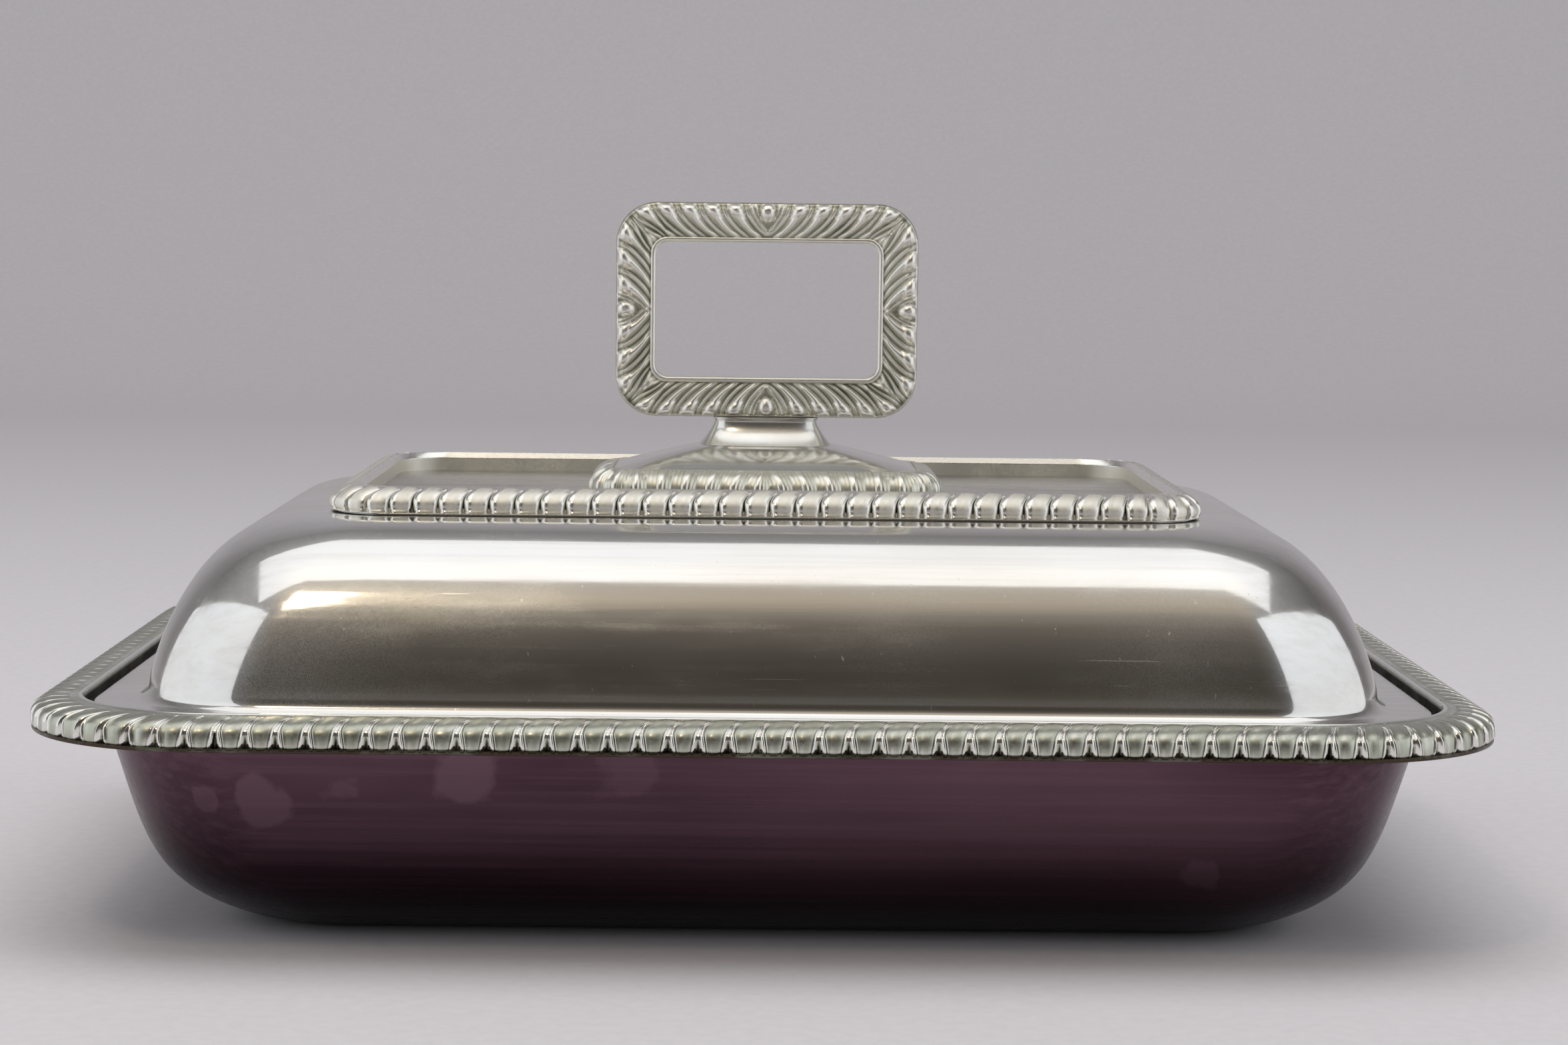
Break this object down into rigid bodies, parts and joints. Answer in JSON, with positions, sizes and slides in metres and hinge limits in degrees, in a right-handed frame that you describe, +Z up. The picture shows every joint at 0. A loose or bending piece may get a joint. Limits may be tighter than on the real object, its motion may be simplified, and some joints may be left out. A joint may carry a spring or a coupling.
{
  "type": "hot serving dish",
  "caption": "Covered rectangular serving dish in silver plate with gadrooned rims, a domed cover and a loop handle that locks with a quarter turn.",
  "frame": {"origin": "centre of the flat underside of the pan, on the table", "axes": "+X along the length of the dish, +Y to its back, +Z up; the front is -Y"},
  "size_m": [0.307, 0.232, 0.1548],
  "materials": {
    "cover_plate": "polished silver plate with fine wear marks",
    "pan_plate": "silver plate, worn to a darker satin",
    "gadroon_plate": "silver plate with tarnish in the recesses",
    "handle_plate": "silver plate with tarnish in the recesses",
    "fitting_metal": "dull plated brass"
  },
  "bodies": {
    "dish": {"dish_pan": "pan_plate", "rim_border_front": "gadroon_plate", "rim_border_back": "gadroon_plate", "rim_border_left": "gadroon_plate", "rim_border_right": "gadroon_plate", "rim_border_corner_front_left": "gadroon_plate", "rim_border_corner_front_right": "gadroon_plate", "rim_border_corner_back_left": "gadroon_plate", "rim_border_corner_back_right": "gadroon_plate"},
    "lid": {"cover_dome": "cover_plate", "top_border_front": "gadroon_plate", "top_border_back": "gadroon_plate", "top_border_left": "gadroon_plate", "top_border_right": "gadroon_plate", "top_border_corner_front_left": "gadroon_plate", "top_border_corner_front_right": "gadroon_plate", "top_border_corner_back_left": "gadroon_plate", "top_border_corner_back_right": "gadroon_plate", "socket_plate": "fitting_metal", "stop_pin_back": "fitting_metal", "stop_pin_front": "fitting_metal"},
    "handle": {"handle_loop_front": "handle_plate", "handle_loop_back": "handle_plate", "handle_neck": "handle_plate", "handle_foot_dome": "handle_plate", "handle_foot_border": "handle_plate", "handle_foot_plate": "fitting_metal", "lock_stud": "fitting_metal", "lock_bar": "fitting_metal", "lock_nut": "fitting_metal"}
  },
  "joints": [
    {"name": "lid_lift", "type": "slide", "parent": "dish", "child": "lid", "axis": [0, 0, 1], "range_m": [0, 0.12]},
    {"name": "handle_twist", "type": "hinge", "parent": "lid", "child": "handle", "pos_m": [0, 0, 0.0884], "axis": [0, 0, 1], "range_deg": [0, 90]}
  ]
}
